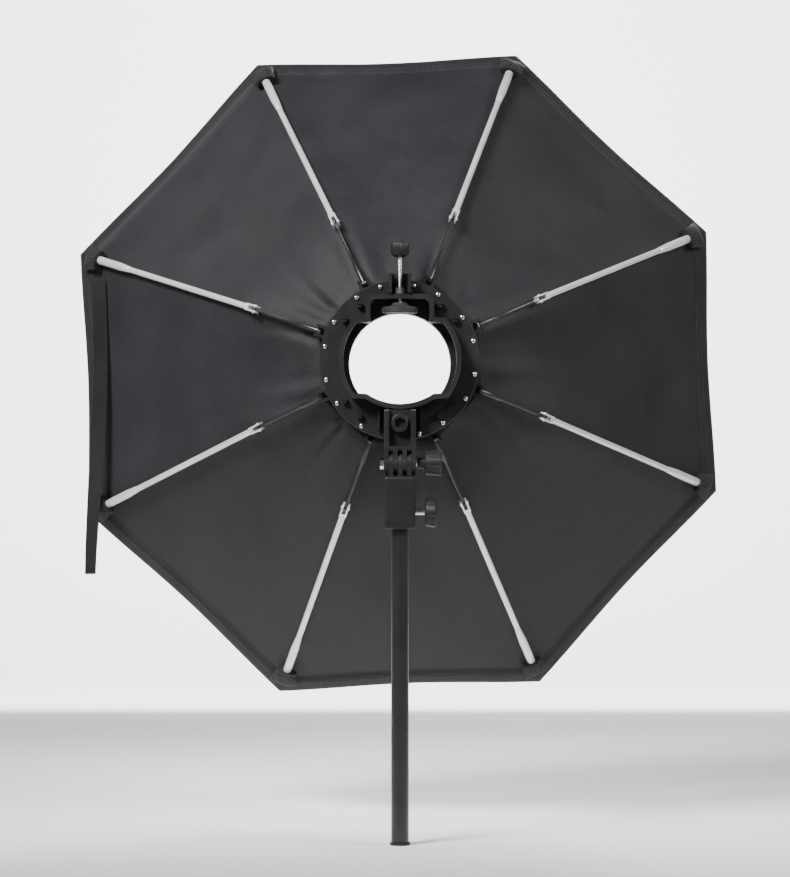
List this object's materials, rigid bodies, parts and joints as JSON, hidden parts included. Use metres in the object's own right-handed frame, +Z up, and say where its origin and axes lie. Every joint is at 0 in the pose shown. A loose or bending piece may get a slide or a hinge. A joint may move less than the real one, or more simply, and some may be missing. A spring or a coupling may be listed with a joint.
{
  "type": "studio softbox",
  "caption": "Octagonal quick-open softbox with eight folding ribs on a tilting flash bracket, held by a light-stand tube.",
  "frame": {"origin": "centre of the stand tube's foot, on its lower face", "axes": "+Z up along the stand tube, +Y out of the softbox's open front, +X to the right seen from behind"},
  "size_m": [0.6336, 0.3206, 0.7568],
  "materials": {
    "black_nylon": "fine plain-weave nylon, matt with a slight sheen",
    "silver_lining": "metallised reflective cloth",
    "black_moulding": "fine satin texture",
    "rib_aluminium": "satin bright",
    "black_steel": "semi-gloss black",
    "bright_steel": "bright zinc plated",
    "rubber_pad": "matt",
    "webbing": "woven polyester tape"
  },
  "bodies": {
    "tube": {"stand_tube": "black_steel", "tube_foot_plug": "black_moulding"},
    "socket": {"socket_block": "black_moulding"},
    "stand_knob": {"stand_knob": "black_moulding", "stand_screw": "bright_steel"},
    "bracket": {"tilt_arm": "black_moulding", "tilt_bolt": "bright_steel", "arm_screw": "black_moulding", "bracket_plate": "black_moulding", "clamp_guide": "black_moulding", "clamp_nut": "bright_steel", "rib_hinge_ring": "black_moulding", "cloth_collar": "black_nylon", "retainer_ring": "black_moulding"},
    "tilt_knob": {"tilt_knob": "black_moulding"},
    "clamp_pad": {"clamp_pad": "rubber_pad"},
    "clamp_screw": {"clamp_screw": "bright_steel", "clamp_knob": "black_moulding"},
    "link_1": {"link_1": "black_steel"},
    "rib_1": {"rib_1": "rib_aluminium", "rib_sleeve_1": "rib_aluminium", "canopy_panel_1": "black_nylon"},
    "link_2": {"link_2": "black_steel"},
    "rib_2": {"rib_2": "rib_aluminium", "rib_sleeve_2": "rib_aluminium", "canopy_panel_2": "black_nylon"},
    "link_3": {"link_3": "black_steel"},
    "rib_3": {"rib_3": "rib_aluminium", "rib_sleeve_3": "rib_aluminium", "canopy_panel_3": "black_nylon"},
    "link_4": {"link_4": "black_steel"},
    "rib_4": {"rib_4": "rib_aluminium", "rib_sleeve_4": "rib_aluminium", "canopy_panel_4": "black_nylon", "tie_strap": "webbing"},
    "link_5": {"link_5": "black_steel"},
    "rib_5": {"rib_5": "rib_aluminium", "rib_sleeve_5": "rib_aluminium", "canopy_panel_5": "black_nylon"},
    "link_6": {"link_6": "black_steel"},
    "rib_6": {"rib_6": "rib_aluminium", "rib_sleeve_6": "rib_aluminium", "canopy_panel_6": "black_nylon"},
    "link_7": {"link_7": "black_steel"},
    "rib_7": {"rib_7": "rib_aluminium", "rib_sleeve_7": "rib_aluminium", "canopy_panel_7": "black_nylon"},
    "link_8": {"link_8": "black_steel"},
    "rib_8": {"rib_8": "rib_aluminium", "rib_sleeve_8": "rib_aluminium", "canopy_panel_8": "black_nylon"}
  },
  "joints": [
    {"name": "swivel", "type": "hinge", "parent": "tube", "child": "socket", "pos_m": [0, 0, 0.3], "axis": [0, 0, 1], "continuous": true},
    {"name": "stand_knob_turn", "type": "hinge", "parent": "socket", "child": "stand_knob", "pos_m": [0.0225, 0, 0.301], "axis": [1, 0, 0], "continuous": true},
    {"name": "tilt", "type": "hinge", "parent": "socket", "child": "bracket", "pos_m": [0, 0, 0.3455], "axis": [1, 0, 0], "range_deg": [-35, 90]},
    {"name": "tilt_knob_turn", "type": "hinge", "parent": "bracket", "child": "tilt_knob", "pos_m": [0.0225, 0, 0.3455], "axis": [1, 0, 0], "continuous": true},
    {"name": "clamp_travel", "type": "slide", "parent": "bracket", "child": "clamp_pad", "axis": [0, 0, -1], "range_m": [0, 0.014]},
    {"name": "clamp_turn", "type": "hinge", "parent": "clamp_pad", "child": "clamp_screw", "pos_m": [0, 0.009, 0.52], "axis": [0, 0, -1], "range_deg": [0, 6305]},
    {"name": "fold_1", "type": "hinge", "parent": "bracket", "child": "link_1", "pos_m": [0.07092, 0.034, 0.47247], "axis": [-0.4163, 0, 0.9092], "range_deg": [0, 58]},
    {"name": "elbow_1", "type": "hinge", "parent": "link_1", "child": "rib_1", "pos_m": [0.13093, 0.07524, 0.49994], "axis": [-0.4163, 0, 0.9092], "range_deg": [-15.6, 0], "deforming": ["canopy_panel_1"]},
    {"name": "fold_2", "type": "hinge", "parent": "bracket", "child": "link_2", "pos_m": [0.02719, 0.034, 0.51311], "axis": [-0.9373, 0, 0.3486], "range_deg": [0, 58]},
    {"name": "elbow_2", "type": "hinge", "parent": "link_2", "child": "rib_2", "pos_m": [0.05019, 0.07524, 0.57497], "axis": [-0.9373, 0, 0.3486], "range_deg": [-15.6, 0], "deforming": ["canopy_panel_2"]},
    {"name": "fold_3", "type": "hinge", "parent": "bracket", "child": "link_3", "pos_m": [-0.03247, 0.034, 0.51092], "axis": [-0.9092, 0, -0.4163], "range_deg": [0, 58]},
    {"name": "elbow_3", "type": "hinge", "parent": "link_3", "child": "rib_3", "pos_m": [-0.05994, 0.07524, 0.57093], "axis": [-0.9092, 0, -0.4163], "range_deg": [-15.6, 0], "deforming": ["canopy_panel_3"]},
    {"name": "fold_4", "type": "hinge", "parent": "bracket", "child": "link_4", "pos_m": [-0.07311, 0.034, 0.46719], "axis": [-0.3486, 0, -0.9373], "range_deg": [0, 58]},
    {"name": "elbow_4", "type": "hinge", "parent": "link_4", "child": "rib_4", "pos_m": [-0.13497, 0.07524, 0.49019], "axis": [-0.3486, 0, -0.9373], "range_deg": [-15.6, 0], "deforming": ["canopy_panel_4", "tie_strap"]},
    {"name": "fold_5", "type": "hinge", "parent": "bracket", "child": "link_5", "pos_m": [-0.07092, 0.034, 0.40753], "axis": [0.4163, 0, -0.9092], "range_deg": [0, 58]},
    {"name": "elbow_5", "type": "hinge", "parent": "link_5", "child": "rib_5", "pos_m": [-0.13093, 0.07524, 0.38006], "axis": [0.4163, 0, -0.9092], "range_deg": [-15.6, 0], "deforming": ["canopy_panel_5"]},
    {"name": "fold_6", "type": "hinge", "parent": "bracket", "child": "link_6", "pos_m": [-0.02719, 0.034, 0.36689], "axis": [0.9373, 0, -0.3486], "range_deg": [0, 58]},
    {"name": "elbow_6", "type": "hinge", "parent": "link_6", "child": "rib_6", "pos_m": [-0.05019, 0.07524, 0.30503], "axis": [0.9373, 0, -0.3486], "range_deg": [-15.6, 0], "deforming": ["canopy_panel_6"]},
    {"name": "fold_7", "type": "hinge", "parent": "bracket", "child": "link_7", "pos_m": [0.03247, 0.034, 0.36908], "axis": [0.9092, 0, 0.4163], "range_deg": [0, 58]},
    {"name": "elbow_7", "type": "hinge", "parent": "link_7", "child": "rib_7", "pos_m": [0.05994, 0.07524, 0.30907], "axis": [0.9092, 0, 0.4163], "range_deg": [-15.6, 0], "deforming": ["canopy_panel_7"]},
    {"name": "fold_8", "type": "hinge", "parent": "bracket", "child": "link_8", "pos_m": [0.07311, 0.034, 0.41281], "axis": [0.3486, 0, 0.9373], "range_deg": [0, 58]},
    {"name": "elbow_8", "type": "hinge", "parent": "link_8", "child": "rib_8", "pos_m": [0.13497, 0.07524, 0.38981], "axis": [0.3486, 0, 0.9373], "range_deg": [-15.6, 0], "deforming": ["canopy_panel_8"]}
  ],
  "couplings": [
    {"joint": "clamp_turn", "follows": "clamp_travel", "rad_per_m": 7854},
    {"joint": "elbow_1", "follows": "fold_1", "ratio": -0.26724},
    {"joint": "fold_2", "follows": "fold_1", "ratio": 1},
    {"joint": "elbow_2", "follows": "fold_1", "ratio": -0.26724},
    {"joint": "fold_3", "follows": "fold_1", "ratio": 1},
    {"joint": "elbow_3", "follows": "fold_1", "ratio": -0.26724},
    {"joint": "fold_4", "follows": "fold_1", "ratio": 1},
    {"joint": "elbow_4", "follows": "fold_1", "ratio": -0.26724},
    {"joint": "fold_5", "follows": "fold_1", "ratio": 1},
    {"joint": "elbow_5", "follows": "fold_1", "ratio": -0.26724},
    {"joint": "fold_6", "follows": "fold_1", "ratio": 1},
    {"joint": "elbow_6", "follows": "fold_1", "ratio": -0.26724},
    {"joint": "fold_7", "follows": "fold_1", "ratio": 1},
    {"joint": "elbow_7", "follows": "fold_1", "ratio": -0.26724},
    {"joint": "fold_8", "follows": "fold_1", "ratio": 1},
    {"joint": "elbow_8", "follows": "fold_1", "ratio": -0.26724}
  ]
}
